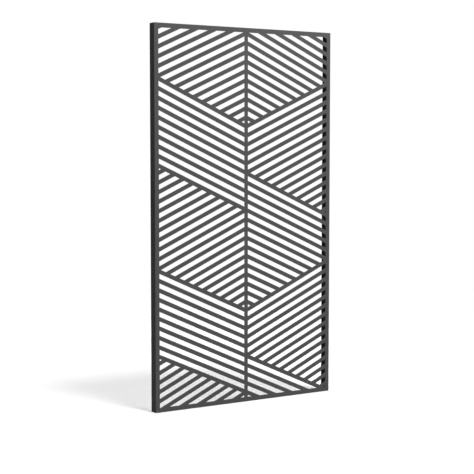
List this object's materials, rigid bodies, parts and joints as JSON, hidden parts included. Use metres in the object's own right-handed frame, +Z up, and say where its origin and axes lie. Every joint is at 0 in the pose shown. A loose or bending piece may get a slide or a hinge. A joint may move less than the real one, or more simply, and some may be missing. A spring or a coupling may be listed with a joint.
{
  "type": "decorative screen panel",
  "caption": "Upright steel screen panel: slanted bars cut through a flat face in zones of alternating slant, on a folded frame with end caps and fixing holes at head and base.",
  "frame": {"origin": "centre of the panel's footprint on the floor", "axes": "+Z up the panel's height, +X along its width to the right seen from the front, the cut face looks along -Y"},
  "size_m": [1, 0.045, 1.8],
  "materials": {
    "coated_steel": "fine-texture matt powder coat",
    "cap_plastic": "moulded, matt",
    "zinc_steel": "bright zinc plate"
  },
  "bodies": {
    "root": {"face_sheet": "coated_steel", "left_stile": "coated_steel", "right_stile": "coated_steel", "top_rail": "coated_steel", "bottom_rail": "coated_steel", "top_left_gusset": "coated_steel", "top_right_gusset": "coated_steel", "bottom_left_gusset": "coated_steel", "bottom_right_gusset": "coated_steel", "top_left_cap": "cap_plastic", "top_right_cap": "cap_plastic", "bottom_left_cap": "cap_plastic", "bottom_right_cap": "cap_plastic", "left_stile_studs": "zinc_steel", "right_stile_studs": "zinc_steel", "top_rail_studs": "zinc_steel", "bottom_rail_studs": "zinc_steel", "left_stile_nuts": "zinc_steel", "right_stile_nuts": "zinc_steel", "top_rail_nuts": "zinc_steel", "bottom_rail_nuts": "zinc_steel"}
  },
  "joints": []
}
